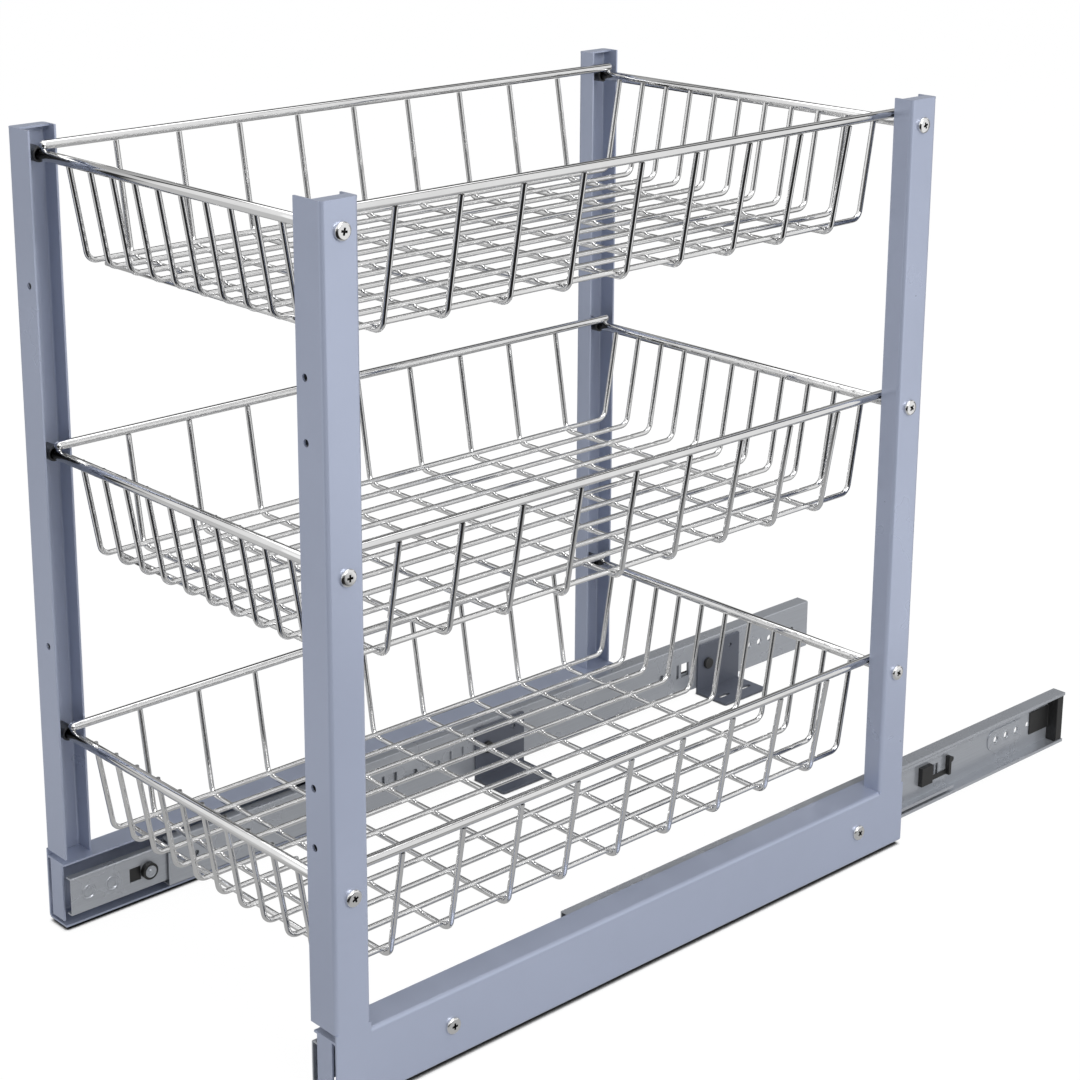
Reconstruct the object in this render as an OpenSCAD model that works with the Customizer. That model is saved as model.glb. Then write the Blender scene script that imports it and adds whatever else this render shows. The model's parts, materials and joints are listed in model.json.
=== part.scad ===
// Pull-out cabinet basket unit: two folded sheet frames carry three wire baskets,
// and ride on a pair of full-extension ball slides that stand on the cabinet floor.
// Millimetres. X runs across the unit, the door side is -Y, and Z = 0 is the cabinet floor.
// The origin is the middle of the footprint of the unit as it stands, partly pulled out.

/* [Side frames] */
// Width over the outer faces of the two side frames
unit_w = 340; // [320:5:500]
// Depth of a side frame, front to back
frame_d = 560; // [540:5:620]
// Height of the posts above the bottom beam
post_h = 536; // [520:5:640]
// Height of the bottom beam
beam_h = 50; // [49.5:0.5:56]
// Gap between the cabinet floor and the beams
floor_gap = 2.5; // [2:0.5:6]
// Sheet thickness of the frames
frame_sheet = 1.5; // [1.2:0.1:1.8]
// Outer radius of the folds in the frame sheet
frame_fold = 3; // [2:0.5:4]
// Depth of a front post along the side of the unit
front_post_d = 28; // [26:1:30]
// Depth of a back post along the side of the unit
back_post_d = 28; // [26:1:30]
// Width of the flange that the door screws to
door_flange = 26; // [23:1:28]
// Width of the other three post flanges
post_flange = 16; // [14:0.5:16]
// Width of the top and bottom flanges of the beam
beam_flange = 23; // [22:0.5:24]
// Width of the lip that is folded over the top of a post
top_lip = 10; // [6:0.5:12]
// Gap between the end of the door flange and the beam
flange_step = 5; // [3:0.5:8]
// Width of the tab that closes the front of the beam
tab_w = 15; // [12:0.5:17]
// Height of the tab that closes the front of the beam
tab_h = 46; // [30:1:46]
// Distance of that tab from the outer face of the frame
tab_inset = 5; // [4:0.5:6]

/* [Door fixing] */
// Diameter of the door fixing holes
door_hole_d = 5; // [4:0.5:6]
// Distance of the door fixing holes from the outer face
door_hole_in = 18; // [14:0.5:19]
// Height of the lowest door fixing hole above the floor
door_hole_z = 180.5; // [170:0.5:192]
// Distance between the two holes of a pair
door_hole_pair = 40; // [30:1:50]
// Distance between the lower pair and the upper pair
door_pair_rise = 261; // [240:1:280]

/* [Baskets] */
// Height of the lowest basket's rim above the floor
rim_z = 148.5; // [146:0.5:158]
// Distance of the highest basket's rim below the top of the posts
top_rim_drop = 19; // [17:0.5:30]
// Depth of a basket, from rim rod to floor wire
basket_depth = 72; // [60:1:76]
// Slope of the basket walls, in degrees
wall_lean = 10; // [6:1:12]
// Diameter of the front and back rim rods
rim_rod_d = 7.5; // [6:0.5:8]
// Diameter of the side rim rods
side_rod_d = 6.5; // [5.5:0.5:7]
// Diameter of the basket wires
wire_d = 4; // [3.5:0.1:4.2]
// Inner bend radius of the basket wires
wire_bend = 6; // [5:0.5:8]
// Number of wires that run from front to back
long_count = 11; // [7:2:11]
// Spacing of the wires that run from front to back
long_pitch = 26; // [24:0.5:26.5]
// Number of wires that run across
cross_count = 9; // [5:2:9]
// Spacing of the wires that run across
cross_pitch = 52; // [46:0.5:54]
// Distance of the rim rod from the outer end of its post
rim_rod_in = 15; // [14:0.5:16]
// Distance of the side rod's middle from the outer face of the frame
side_rod_in = 20.5; // [20:0.5:22]

/* [Bushings and screws] */
// Outer diameter of the threaded bushings
bushing_d = 11; // [10:0.5:12]
// Length of the threaded bushings
bushing_l = 14; // [12:0.5:15]
// Depth to which a rim rod enters its bushing
rod_socket = 5; // [4:0.5:6]
// Shank diameter of the frame screws
screw_d = 5; // [4:0.5:6]
// Head diameter of the frame screws
screw_head_d = 12; // [10:0.5:13]
// Head height of the frame screws
screw_head_h = 2.6; // [2:0.2:3.2]
// Length of the screw shank
screw_l = 9; // [8:0.5:10]

/* [Ball slides] */
// Length of the cabinet member
slide_l = 580; // [560:5:590]
// Length of the drawer member, which is fixed to the beam
drawer_l = 550; // [520:5:550]
// Distance from the drawer member's front end to the middle member's, pushed together
middle_in = 83; // [80:1:90]
// Height of the cabinet member
slide_h = 45; // [44.5:0.5:46]
// Sheet thickness of the slide members
slide_sheet = 1.2; // [1:0.1:1.3]
// Distance of the slide's inner face from the outer face of the frame
slide_in = 33.5; // [33:0.5:36]
// Depth of the cabinet member's channel
cabinet_flange = 12.7; // [12.5:0.1:13.5]
// Depth of the intermediate member's channel
middle_flange = 8.5; // [8.4:0.1:8.8]
// Depth of the drawer member's channel
drawer_flange = 6.5; // [6.2:0.1:6.8]
// Space between two members for a row of balls
ball_gap = 2.7; // [2.6:0.05:2.8]
// Distance between the webs of two nested members
web_gap = 1.4; // [1.3:0.1:1.5]
// Length of the plastic stops in the back ends of the cabinet members
stop_l = 8; // [6:1:12]
// How far the middle members stand out of the cabinet members
pulled_out = 140; // [80:5:160]
// Distance of the drawer member from the front of the frame
slide_front = 2; // [1:0.5:6]
// Sheet thickness of the ball cages
cage_sheet = 0.8; // [0.6:0.1:0.8]
// Length of the ball cages
cage_l = 190; // [150:10:200]
// Number of balls in each row
balls_per_row = 8; // [4:1:8]
// Distance of the first fixing screw from the front of the frame
fix_front = 96; // [90:1:105]
// Distance of the last fixing screw from the back of the frame
fix_back = 53; // [45:1:60]
// Outer diameter of the spacer sleeves between beam and slide
sleeve_d = 12; // [11:0.5:13]

/* [Openings in the cabinet member] */
// Distance of the first pair of windows from the front end
first_windows_in = 63; // [60:1:66]
// Distance of the second pair of windows from the front end
second_windows_in = 134; // [130:1:136]
// Distance of the last pair of windows from the back end
last_windows_in = 177; // [174:1:180]
// Length of a pair's narrow window
narrow_window_l = 3; // [2:0.5:4]
// Length of a pair's wide window
wide_window_l = 10; // [8:0.5:12]
// Web left between the two windows of a pair
window_web = 3; // [2:0.5:4]
// Height of the windows
window_rise = 13; // [10:0.5:15]
// Distance of the first fixing slot from the front end
first_slot_in = 93; // [91:1:95]
// Distance of the second fixing slot from the front end
second_slot_in = 117; // [115:1:119]
// Length of a fixing slot
fixing_slot_l = 15; // [12:0.5:16]
// Width of a fixing slot
fixing_slot_w = 6; // [5:0.5:7]
// Distance of the two fixing holes from the back end
twin_holes_in = 192; // [190:1:196]
// Distance between those two holes
twin_hole_pitch = 9; // [8:0.5:11]
// Distance of the last small hole from the back end
end_hole_in = 22; // [20:1:26]
// Distance between the two small holes at the back end
end_hole_pitch = 14; // [12:1:16]
// Diameter of the small holes
end_hole_d = 4.5; // [3.5:0.5:5]
// Distance of the raised pad's middle from the back end
boss_in = 67; // [66:1:70]
// Length of the raised pad
boss_l = 50; // [46:1:54]
// Height of the raised pad
boss_h = 18; // [14:1:22]
// How far the pad is raised
boss_t = 0.8; // [0.5:0.1:0.9]
// Diameter of the pad's three holes
boss_hole_d = 6; // [4:0.5:7]
// Distance from one of the pad's holes to the next
boss_hole_pitch = 14; // [12:0.5:16]

/* [Floor brackets] */
// Width of a bracket along the slide
bracket_w = 54; // [50:1:60]
// Height of a bracket
bracket_h = 46; // [42:0.5:48]
// Reach of a bracket's foot towards the middle
foot_l = 36; // [34:1:44]
// Plate thickness of the brackets
bracket_t = 2; // [1.5:0.1:2.5]
// Distance of a front bracket's middle from the front end of the cabinet member
front_bracket_in = 189; // [184:1:200]
// Distance of a back bracket's middle from the back end of the cabinet member
back_bracket_in = 124; // [121:1:128]
// Width of the slots in a bracket's foot
foot_slot_w = 5; // [4:0.5:6]
// Length of the slots in a bracket's foot
foot_slot_l = 14; // [10:1:18]
// Distance between the two slots in a bracket's foot
foot_slot_pitch = 28; // [24:1:32]
// Shank diameter of the bracket bolts
bolt_d = 5; // [4:0.5:6]
// Head diameter of the bracket bolts
bolt_head_d = 10; // [8:0.5:11]
// Distance of the bolt from the front edge of its bracket
bolt_in = 12; // [8:0.5:14]

/* [Hidden] */
$fn = 32;

FRAME_COLOUR = [0.66, 0.70, 0.80];
CHROME_COLOUR = [0.82, 0.82, 0.84];
ZINC_COLOUR = [0.62, 0.65, 0.70];
BRACKET_COLOUR = [0.27, 0.29, 0.34];
BLACK_COLOUR = [0.08, 0.08, 0.09];
LEFT = -1;
RIGHT = 1;

// Clearances
weld_gap = 0.05;    // between wires that are welded where they cross
bend_lap = 0.2;     // how far a straight stretch of wire runs into its bend
bend_step = 0.02;   // how much thinner a straight stretch is than its bend
play = 0.03;        // running clearance of a ball on each side
seat_gap = 0.1;     // between a shank and its hole, or a rod and its socket
hole_gap = 0.4;     // between a frame screw and the clearance hole in the sheet
stop_gap = 0.3;     // between the moving members and the stop when the unit is shut
cut = 1;            // how far a cutting tool runs past a face

// Heights
beam_z = floor_gap + beam_h;
post_top = beam_z + post_h;
slide_z = floor_gap + beam_h / 2;

// Distances across, from the middle plane outwards
outer_x = unit_w / 2;
web_x = outer_x - frame_sheet;
slide_x = outer_x - slide_in;
side_rod_x = outer_x - side_rod_in;

// Distances along the depth, from the front of the frame
middle_y = slide_front + middle_in;
cabinet_y = middle_y + pulled_out;
total_d = cabinet_y + slide_l;
front_rod_y = rim_rod_in;
back_rod_y = frame_d - rim_rod_in;
mid_y = frame_d / 2;
middle_l = slide_l - stop_l - stop_gap;
fix_ys = [fix_front, frame_d - fix_back];
bracket_ys = [cabinet_y + front_bracket_in, total_d - back_bracket_in];
post_ys = [front_rod_y, back_rod_y];
basket_pitch = (post_top - top_rim_drop - rim_z) / 2;
rim_zs = [for (i = [0:2]) rim_z + i * basket_pitch];

// Slide section: each member's web, from the slide's inner face outwards, and its half height
middle_web = slide_sheet + web_gap;
drawer_web = 2 * middle_web;
cabinet_half = slide_h / 2;
middle_half = cabinet_half - slide_sheet - ball_gap;
drawer_half = middle_half - slide_sheet - ball_gap;
ball_d = ball_gap - 2 * play;
outer_ball_x = middle_web + middle_flange / 2;
inner_ball_x = drawer_web + drawer_flange / 2 - 0.6;
section_fold = slide_sheet;
lip = 1.3;

// ---------- Shared shapes ----------

// Puts a shape that is measured from the front of the frame into the unit's own frame
module placed() {
    translate([0, -total_d / 2, 0]) children();
}

// Copies a right-hand shape to one side of the unit
module on_side(side) {
    mirror([side == LEFT ? 1 : 0, 0, 0]) children();
}

// Both sides
module both_sides() {
    for (side = [LEFT, RIGHT]) on_side(side) children();
}

// A rectangle with round corners, from its lower left corner
module soft_rect(w, h, r) {
    translate([r, 0]) square([w - 2 * r, h]);
    translate([0, r]) square([w, h - 2 * r]);
    for (x = [r, w - r], y = [r, h - r]) translate([x, y]) circle(r);
}

// A channel section that opens towards +x, with its web on the y axis
module channel_section(depth, height, sheet, fold) {
    far = depth + 2 * fold;
    difference() {
        translate([0, -height / 2]) soft_rect(far, height, fold);
        translate([sheet, sheet - height / 2]) soft_rect(far, height - 2 * sheet, max(fold - sheet, 0.2));
        translate([depth, -height]) square([far, 2 * height]);
    }
}

// Runs a section, drawn with x outwards and y up, along the unit's depth
module along_depth(length) {
    translate([0, length, 0]) rotate([90, 0, 0]) linear_extrude(length) children();
}

// A cylinder along X whose near end is at x
module cross_pin(x, length, d) {
    translate([x, 0, 0]) rotate([0, 90, 0]) cylinder(d = d, h = length);
}

// A slot through a plate that lies in the XY plane, rounded at both ends, along Y
module slot(length, width, height) {
    reach = (length - width) / 2;
    for (s = [-1, 1]) translate([0, s * reach, 0]) cylinder(d = width, h = height);
    translate([-width / 2, -reach, 0]) cube([width, 2 * reach, height]);
}

// ---------- Side frames ----------

// Section of a post, seen from above: the web is on the outer face and both flanges point inwards
module post_section(depth, front_flange, back_flange) {
    difference() {
        translate([outer_x - door_flange - frame_fold, 0])
            soft_rect(door_flange + frame_fold, depth, frame_fold);
        translate([outer_x - door_flange - 2 * frame_fold, frame_sheet])
            soft_rect(
                web_x - (outer_x - door_flange - 2 * frame_fold),
                depth - 2 * frame_sheet, frame_fold - frame_sheet);
        translate([outer_x - front_flange - unit_w, -cut]) square([unit_w, depth / 2 + cut]);
        translate([outer_x - back_flange - unit_w, depth / 2]) square([unit_w, depth / 2 + cut]);
    }
}

// Lip at the top of a post, folded inwards from the web
module post_lip(depth) {
    translate([outer_x - top_lip, frame_sheet / 2, post_top - frame_sheet])
        cube([top_lip - frame_sheet / 2, depth - frame_sheet, frame_sheet]);
}

module front_post() {
    post_lip(front_post_d);
    translate([0, 0, beam_z + flange_step])
        linear_extrude(post_h - flange_step) post_section(front_post_d, door_flange, post_flange);
    // Below the step the door flange stops and the rest of the post runs on into the beam
    translate([0, 0, beam_z - frame_sheet]) linear_extrude(flange_step + frame_sheet)
        intersection() {
            post_section(front_post_d, door_flange, post_flange);
            translate([0, frame_fold]) square([unit_w, unit_w]);
        }
}

module back_post() {
    translate([0, frame_d, 0]) mirror([0, 1, 0]) {
        post_lip(back_post_d);
        translate([0, 0, beam_z - frame_sheet])
            linear_extrude(post_h + frame_sheet) post_section(back_post_d, post_flange, post_flange);
    }
}

module beam() {
    translate([outer_x, 0, floor_gap + beam_h / 2]) mirror([1, 0, 0])
        along_depth(frame_d) channel_section(beam_flange, beam_h, frame_sheet, frame_fold);
    // The web runs straight up into the posts
    translate([web_x, 0, slide_z])
        cube([frame_sheet, front_post_d, beam_z - slide_z + flange_step]);
    translate([web_x, frame_d - back_post_d, slide_z])
        cube([frame_sheet, back_post_d, beam_z - slide_z]);
    // Front tab, folded down from the top flange
    translate([outer_x - tab_inset - tab_w, 0, beam_z - tab_h]) cube([tab_w, frame_sheet, tab_h]);
}

// Holes in the door flange
module door_holes(zs) {
    for (z = zs)
        translate([outer_x - door_hole_in, frame_sheet + cut, z]) rotate([90, 0, 0])
            cylinder(d = door_hole_d, h = frame_sheet + 2 * cut);
}

// Both frames have the upper hole of each pair, and the right frame has the lower ones as well
upper_hole_zs = [for (rise = [0, door_pair_rise]) door_hole_z + door_hole_pair + rise];
lower_hole_zs = [for (rise = [0, door_pair_rise]) door_hole_z + rise];

module side_frame(hole_zs) {
    difference() {
        union() {
            beam();
            front_post();
            back_post();
        }
        door_holes(hole_zs);
        for (y = post_ys, z = rim_zs)
            translate([0, y, z]) cross_pin(web_x - cut, frame_sheet + 2 * cut, screw_d + hole_gap);
        for (y = fix_ys)
            translate([0, y, slide_z]) cross_pin(web_x - cut, frame_sheet + 2 * cut, screw_d + hole_gap);
    }
}

module left_frame() {
    color(FRAME_COLOUR) placed() on_side(LEFT) side_frame(upper_hole_zs);
}

module right_frame() {
    color(FRAME_COLOUR) placed() on_side(RIGHT) side_frame(concat(upper_hole_zs, lower_hole_zs));
}

// ---------- Wire baskets ----------

bend_r = wire_bend + wire_d / 2;
bushing_x = web_x - bushing_l;
rod_end_x = bushing_x + rod_socket;
side_rod_rise = (rim_rod_d + side_rod_d) / 2 + weld_gap;
long_rise = rim_rod_d / 2 + 1;
long_half_top = mid_y - rim_rod_in - (rim_rod_d + wire_d + 2 * weld_gap) / 2 / cos(wall_lean);
long_half_floor = long_half_top - basket_depth * tan(wall_lean);
cross_drop = basket_depth + wire_d + weld_gap;
cross_top = side_rod_rise - side_rod_d / 2 - wire_d / 2 * sin(wall_lean) - weld_gap;
cross_half_floor = side_rod_x - (cross_drop + cross_top) * tan(wall_lean);
bend_cut = bend_r * tan((90 - wall_lean) / 2);
// Half lengths of the straight floor stretches
long_floor = long_half_floor - bend_cut;
cross_floor = cross_half_floor - bend_cut;
edge_wire_half = long_pitch * (long_count - 1) / 2 + wire_d;

// A wire bent to a flat U in the XZ plane: its ends are at height rise and its floor at -drop.
// The straight stretches are a hair thinner than the bends and run a little way into them.
module bent_wire(floor_half, drop, rise) {
    leg = (drop + rise) / cos(wall_lean) - bend_cut;
    straight_d = wire_d - bend_step;
    for (side = [LEFT, RIGHT]) on_side(side)
        translate([floor_half, 0, bend_r - drop]) rotate([0, wall_lean, 0]) {
            translate([bend_r, 0, -bend_lap]) cylinder(d = straight_d, h = leg + bend_lap, $fn = 16);
            rotate([90, 0, 0]) rotate([0, 0, wall_lean - 90]) rotate_extrude(angle = 90 - wall_lean)
                translate([bend_r, 0]) circle(d = wire_d, $fn = 16);
        }
    translate([-floor_half - bend_lap, 0, -drop]) rotate([0, 90, 0])
        cylinder(d = straight_d, h = 2 * (floor_half + bend_lap), $fn = 16);
}

// Front and back rods between the posts, with the two side rods lying across them
module rim_rods(z) {
    for (y = post_ys)
        translate([0, y, z]) cross_pin(-rod_end_x, 2 * rod_end_x, rim_rod_d);
    side_half = mid_y - rim_rod_in + side_rod_d / 2;
    for (side = [LEFT, RIGHT])
        translate([side * side_rod_x, mid_y, z + side_rod_rise]) rotate([90, 0, 0]) {
            cylinder(d = side_rod_d, h = 2 * side_half - side_rod_d, center = true);
            for (s = [-1, 1]) translate([0, 0, s * (side_half - side_rod_d / 2)]) sphere(d = side_rod_d);
        }
}

// Wires that run from the front rod down, along the floor and up to the back rod
module long_wires(z) {
    first = -(long_count - 1) / 2 * long_pitch;
    for (i = [0:long_count - 1])
        translate([first + i * long_pitch, mid_y, z]) rotate([0, 0, 90])
            bent_wire(long_floor, basket_depth, long_rise);
}

// Wires that run from one side rod to the other under the long wires, and one along each floor edge
module cross_wires(z) {
    first = mid_y - (cross_count - 1) / 2 * cross_pitch;
    for (i = [0:cross_count - 1])
        translate([0, first + i * cross_pitch, z]) bent_wire(cross_floor, cross_drop, cross_top);
    for (s = [-1, 1])
        translate([0, mid_y + s * long_floor, z - cross_drop])
            cross_pin(-edge_wire_half, 2 * edge_wire_half, wire_d);
}

// Threaded sleeves that join the rod ends to the posts
module bushings(z) {
    both_sides() for (y = post_ys) translate([0, y, z]) difference() {
        cross_pin(bushing_x, bushing_l, bushing_d);
        cross_pin(bushing_x - cut, rod_socket + cut, rim_rod_d + seat_gap);
        cross_pin(bushing_x + rod_socket - cut / 2, bushing_l, screw_d + seat_gap);
    }
}

module top_rim_rods() {
    color(CHROME_COLOUR) placed() rim_rods(rim_zs[2]);
}

module top_long_wires() {
    color(CHROME_COLOUR) placed() long_wires(rim_zs[2]);
}

module top_cross_wires() {
    color(CHROME_COLOUR) placed() cross_wires(rim_zs[2]);
}

module top_bushings() {
    color(BLACK_COLOUR) placed() bushings(rim_zs[2]);
}

module middle_rim_rods() {
    color(CHROME_COLOUR) placed() rim_rods(rim_zs[1]);
}

module middle_long_wires() {
    color(CHROME_COLOUR) placed() long_wires(rim_zs[1]);
}

module middle_cross_wires() {
    color(CHROME_COLOUR) placed() cross_wires(rim_zs[1]);
}

module middle_bushings() {
    color(BLACK_COLOUR) placed() bushings(rim_zs[1]);
}

module bottom_rim_rods() {
    color(CHROME_COLOUR) placed() rim_rods(rim_zs[0]);
}

module bottom_long_wires() {
    color(CHROME_COLOUR) placed() long_wires(rim_zs[0]);
}

module bottom_cross_wires() {
    color(CHROME_COLOUR) placed() cross_wires(rim_zs[0]);
}

module bottom_bushings() {
    color(BLACK_COLOUR) placed() bushings(rim_zs[0]);
}

// ---------- Screws and sleeves ----------

// A pan-head screw whose head rests on the outer face of the frame, with a cross recess
module frame_screw(length) {
    recess = screw_head_d * 0.45;
    recess_w = 1.4;
    recess_d = screw_head_h * 0.5;
    round_r = screw_head_h * 0.7;
    head_r = screw_head_d / 2;
    difference() {
        translate([outer_x, 0, 0]) rotate([0, 90, 0]) rotate_extrude() {
            translate([0, -length]) square([screw_d / 2, length + screw_head_h / 2]);
            square([head_r, screw_head_h - round_r]);
            square([head_r - round_r, screw_head_h]);
            intersection() {
                translate([head_r - round_r, screw_head_h - round_r]) circle(round_r);
                square([head_r, screw_head_h]);
            }
        }
        for (turn = [0, 90])
            translate([outer_x + screw_head_h - recess_d, 0, 0]) rotate([turn, 0, 0])
                translate([0, -recess / 2, -recess_w / 2]) cube([recess_d + cut, recess, recess_w]);
    }
}

module basket_screws() {
    color(CHROME_COLOUR) placed() both_sides()
        for (y = post_ys, z = rim_zs) translate([0, y, z]) frame_screw(screw_l);
}

drawer_web_x = slide_x + drawer_web + slide_sheet;
sleeve_l = web_x - drawer_web_x;

module slide_screws() {
    color(CHROME_COLOUR) placed() both_sides()
        for (y = fix_ys) translate([0, y, slide_z]) frame_screw(screw_l);
}

// Threaded sleeves that hold the drawer members to the beams
module slide_sleeves() {
    color(ZINC_COLOUR) placed() both_sides()
        for (y = fix_ys) translate([0, y, slide_z]) difference() {
            cross_pin(drawer_web_x, sleeve_l, sleeve_d);
            cross_pin(web_x - screw_l, screw_l + cut, screw_d + seat_gap);
        }
}

// ---------- Ball slides ----------

// Round holes through a member's web at the given distances behind the front of the frame
module web_holes(web, ys, d) {
    for (y = ys) translate([0, y, slide_z]) cross_pin(slide_x + web - cut, slide_sheet + 2 * cut, d);
}

// A slide member: its web faces the middle of the unit and its mouth faces the beam
module member(web, half, depth, y, length) {
    translate([0, y, slide_z]) along_depth(length)
        translate([slide_x + web, 0]) channel_section(depth, 2 * half, slide_sheet, section_fold);
}

// Turned-in lips at the mouth of a member, which keep the balls in their race
module member_lips(web, half, depth, y, length) {
    translate([0, y, slide_z]) along_depth(length)
        for (s = [0, 1]) mirror([0, s])
            translate([slide_x + web + depth - slide_sheet, half - slide_sheet - lip])
                square([slide_sheet, lip + slide_sheet / 2]);
}

cabinet_bolt_ys = [for (y = bracket_ys) y - bracket_w / 2 + bolt_in];
// Stamped openings of the cabinet member's web: each pair of windows is a narrow one, then a wide one
window_pair_ys = [cabinet_y + first_windows_in, cabinet_y + second_windows_in, total_d - last_windows_in];
fixing_slot_ys = [cabinet_y + first_slot_in, cabinet_y + second_slot_in];
twin_hole_ys = [for (s = [-1, 1]) total_d - twin_holes_in + s * twin_hole_pitch / 2];
end_hole_ys = [total_d - end_hole_in, total_d - end_hole_in - end_hole_pitch];
boss_y = total_d - boss_in;

module web_window(y, length) {
    translate([slide_x - cut, y, slide_z - window_rise / 2])
        cube([slide_sheet + 2 * cut, length, window_rise]);
}

module cabinet_member() {
    difference() {
        union() {
            member(0, cabinet_half, cabinet_flange, cabinet_y, slide_l);
            member_lips(0, cabinet_half, cabinet_flange, cabinet_y, slide_l);
            // Raised pad inside the far end
            translate([slide_x + slide_sheet / 2, boss_y - boss_l / 2, slide_z - boss_h / 2])
                rotate([90, 0, 90]) linear_extrude(slide_sheet / 2 + boss_t)
                    soft_rect(boss_l, boss_h, boss_h / 2 - 0.5);
        }
        web_holes(0, cabinet_bolt_ys, bolt_d + seat_gap);
        web_holes(0, end_hole_ys, end_hole_d);
        web_holes(0, twin_hole_ys, fixing_slot_w);
        for (y = window_pair_ys) {
            web_window(y, narrow_window_l);
            web_window(y + narrow_window_l + window_web, wide_window_l);
        }
        for (y = fixing_slot_ys)
            translate([slide_x - cut, y, slide_z]) rotate([0, 90, 0])
                slot(fixing_slot_l, fixing_slot_w, slide_sheet + 2 * cut);
        for (s = [-1, 0, 1])
            translate([0, boss_y + s * boss_hole_pitch, slide_z])
                cross_pin(slide_x - cut, slide_sheet + boss_t + 2 * cut, boss_hole_d);
    }
}

module middle_member() {
    difference() {
        union() {
            member(middle_web, middle_half, middle_flange, middle_y, middle_l);
            member_lips(middle_web, middle_half, middle_flange, middle_y, middle_l);
        }
        web_holes(middle_web, [middle_y + 25, middle_y + middle_l - 62], 5);
        // Window for the end latch
        translate([slide_x + middle_web - cut, middle_y + middle_l - 24, slide_z - 5])
            cube([slide_sheet + 2 * cut, 12, 10]);
    }
}

// The catch's window and button, and two dimples in front of them, behind the slide's front end
window_y = slide_front + 50;
window_l = 10;
window_h = 11;
button_y = slide_front + 66;
button_d = 13;
button_h = 4;
dimple_ys = [slide_front + 15, slide_front + 35];
dimple_d = 10;

module drawer_member() {
    difference() {
        member(drawer_web, drawer_half, drawer_flange, slide_front, drawer_l);
        // Window for the catch
        translate([slide_x + drawer_web - cut, window_y, slide_z - window_h / 2])
            cube([slide_sheet + 2 * cut, window_l, window_h]);
        translate([0, button_y, slide_z])
            cross_pin(slide_x + drawer_web - cut, slide_sheet + 2 * cut, button_d / 2 + seat_gap);
        // Pressed dimples near the front end
        for (y = dimple_ys) translate([0, y, slide_z])
            cross_pin(slide_x + drawer_web - cut, cut + slide_sheet / 2, dimple_d);
    }
}

// Sheet cage that keeps one set of balls at their spacing
module ball_cage(web, ball_x, half, y) {
    cage_web = web + slide_sheet + (web_gap - cage_sheet) / 2;
    depth = ball_x + ball_d / 2 + 0.4 - cage_web;
    difference() {
        translate([slide_x + cage_web, y, slide_z])
            along_depth(cage_l) channel_section(depth, 2 * half, cage_sheet, cage_sheet);
        for (i = [0:balls_per_row - 1])
            translate([slide_x + ball_x, ball_y(y, i), slide_z - half - cut])
                cylinder(d = ball_d + seat_gap, h = 2 * half + 2 * cut);
    }
}

function ball_y(y, i) = y + cage_l * (i + 0.5) / balls_per_row;

// Two rows of balls, above and below
module ball_rows(ball_x, race, y) {
    for (i = [0:balls_per_row - 1], s = [-1, 1])
        translate([slide_x + ball_x, ball_y(y, i), slide_z + s * race]) sphere(d = ball_d);
}

outer_race = middle_half + ball_gap / 2;
inner_race = drawer_half + ball_gap / 2;
// Each cage rolls half as far as the member it carries, so it stays in the middle of the overlap
outer_cage_y = (cabinet_y + middle_y + middle_l - cage_l) / 2;
inner_cage_y = (middle_y + slide_front + drawer_l - cage_l) / 2;

module outer_cage() {
    ball_cage(0, outer_ball_x, outer_race + cage_sheet / 2, outer_cage_y);
}

module inner_cage() {
    ball_cage(middle_web, inner_ball_x, inner_race + cage_sheet / 2, inner_cage_y);
}

// Catch of the drawer member: a block behind the web, whose tab fills the window, and its button
module slide_catch() {
    web_in = slide_x + drawer_web;
    web_out = web_in + slide_sheet;
    block_l = button_y + button_d / 2 - window_y;
    translate([web_out + seat_gap, window_y, slide_z - window_h / 2]) cube([2.5, block_l, window_h]);
    translate([web_in + slide_sheet / 2, window_y + seat_gap, slide_z - window_h / 2 + seat_gap])
        cube([slide_sheet, window_l - 2 * seat_gap, window_h - 2 * seat_gap]);
    translate([0, button_y, slide_z]) {
        cross_pin(web_in - seat_gap - button_h, button_h, button_d);
        cross_pin(web_in - seat_gap - cut, cut + slide_sheet + 3 * seat_gap, button_d / 2);
    }
}

// Plastic latch in the back end of the middle member: a block, and an arm that ends in a buffer
latch_l = 14;
latch_h = 16;
latch_t = 4;
latch_arm_l = 24;
latch_arm_t = 1;
latch_end_l = 3;

module middle_buffer() {
    end_y = middle_y + middle_l;
    floor_x = slide_x + middle_web + slide_sheet + weld_gap;
    low_z = slide_z - latch_h / 2;
    translate([floor_x, end_y - latch_arm_l - latch_l, low_z]) cube([latch_t, latch_l, latch_h]);
    translate([floor_x, end_y - latch_arm_l - cut, low_z])
        cube([latch_arm_t, latch_arm_l + cut, latch_h / 4]);
    translate([floor_x, end_y - latch_end_l, low_z]) cube([latch_t, latch_end_l, latch_h]);
}

// Plastic stop in the back end of the cabinet member: a block with a thin base plate in front of it
stop_base_l = 26;
stop_base_h = 20;
stop_base_t = 1;

module cabinet_stop() {
    h = 2 * (cabinet_half - slide_sheet - weld_gap);
    floor_x = slide_x + slide_sheet + weld_gap;
    translate([floor_x, total_d - stop_l, slide_z - h / 2])
        cube([cabinet_flange - 2 * slide_sheet - 2 * weld_gap, stop_l, h]);
    translate([floor_x, total_d - stop_l - stop_base_l, slide_z - stop_base_h / 2])
        cube([stop_base_t, stop_base_l + cut, stop_base_h]);
}

module left_cabinet_member() {
    color(ZINC_COLOUR) placed() on_side(LEFT) cabinet_member();
}

module left_middle_member() {
    color(ZINC_COLOUR) placed() on_side(LEFT) middle_member();
}

module left_drawer_member() {
    color(ZINC_COLOUR) placed() on_side(LEFT) drawer_member();
}

module left_outer_cage() {
    color(ZINC_COLOUR) placed() on_side(LEFT) outer_cage();
}

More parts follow.
